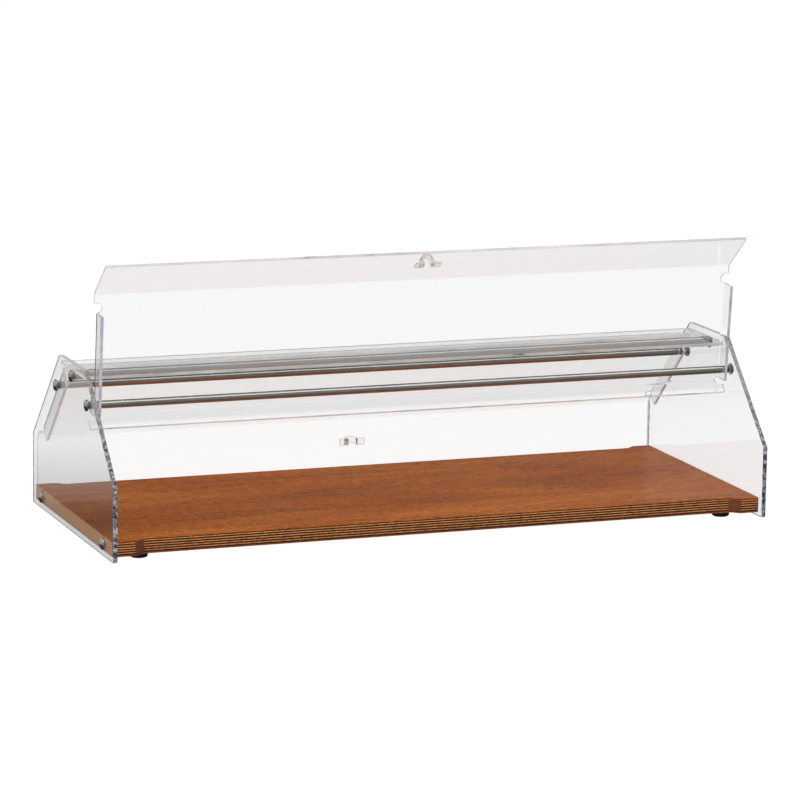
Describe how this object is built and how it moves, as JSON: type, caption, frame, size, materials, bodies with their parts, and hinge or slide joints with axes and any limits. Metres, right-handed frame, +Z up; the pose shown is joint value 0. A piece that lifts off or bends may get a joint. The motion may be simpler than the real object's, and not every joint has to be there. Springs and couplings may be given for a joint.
{
  "type": "countertop food display case",
  "caption": "Long low display case for a counter: a wooden base board, clear side panels, a clear top sheet and folded clear flaps at front and rear that swing up on steel rods.",
  "frame": {"origin": "on the worktop, under the middle of the outer box (the rear handle reaches 13.4 mm further back than the panels reach forward)", "axes": "+X along the case to the right as seen from the front, -Y towards the front (the open flap), +Z up"},
  "size_m": [0.9086, 0.3854, 0.3697],
  "materials": {
    "clear_acrylic": "clear, polished faces with saw-cut and sanded edges",
    "polished_steel": "polished stainless, drawn along its length",
    "zinc_steel": "zinc-plated, dull",
    "stained_plywood": "orange-brown stain under semi-gloss lacquer, plies showing at the edge",
    "black_rubber": "moulded, matt",
    "black_nylon": "turned, satin"
  },
  "bodies": {
    "case": {"base_board": "stained_plywood", "left_side_panel": "clear_acrylic", "left_top_rod_screw": "polished_steel", "right_side_panel": "clear_acrylic", "right_top_rod_screw": "polished_steel", "top_sheet": "clear_acrylic", "top_rod": "polished_steel", "front_hinge_rod": "polished_steel", "front_left_hinge_bush": "black_nylon", "front_left_hinge_screw": "polished_steel", "front_left_base_screw": "polished_steel", "front_left_foot": "black_rubber", "front_left_foot_screw": "zinc_steel", "front_right_hinge_bush": "black_nylon", "front_right_hinge_screw": "polished_steel", "front_right_base_screw": "polished_steel", "front_right_foot": "black_rubber", "front_right_foot_screw": "zinc_steel", "rear_hinge_rod": "polished_steel", "rear_left_hinge_bush": "black_nylon", "rear_left_hinge_screw": "polished_steel", "rear_left_base_screw": "polished_steel", "rear_left_foot": "black_rubber", "rear_left_foot_screw": "zinc_steel", "rear_right_hinge_bush": "black_nylon", "rear_right_hinge_screw": "polished_steel", "rear_right_base_screw": "polished_steel", "rear_right_foot": "black_rubber", "rear_right_foot_screw": "zinc_steel"},
    "front_flap": {"front_flap": "clear_acrylic", "front_flap_handle": "clear_acrylic"},
    "rear_flap": {"rear_flap": "clear_acrylic", "rear_flap_handle": "clear_acrylic"}
  },
  "joints": [
    {"name": "front_flap_hinge", "type": "hinge", "parent": "case", "child": "front_flap", "pos_m": [0, -0.07772, 0.1832], "axis": [1, 0, 0], "range_deg": [0, 130]},
    {"name": "rear_flap_hinge", "type": "hinge", "parent": "case", "child": "rear_flap", "pos_m": [0, 0.06428, 0.1832], "axis": [1, 0, 0], "range_deg": [0, 130]}
  ]
}
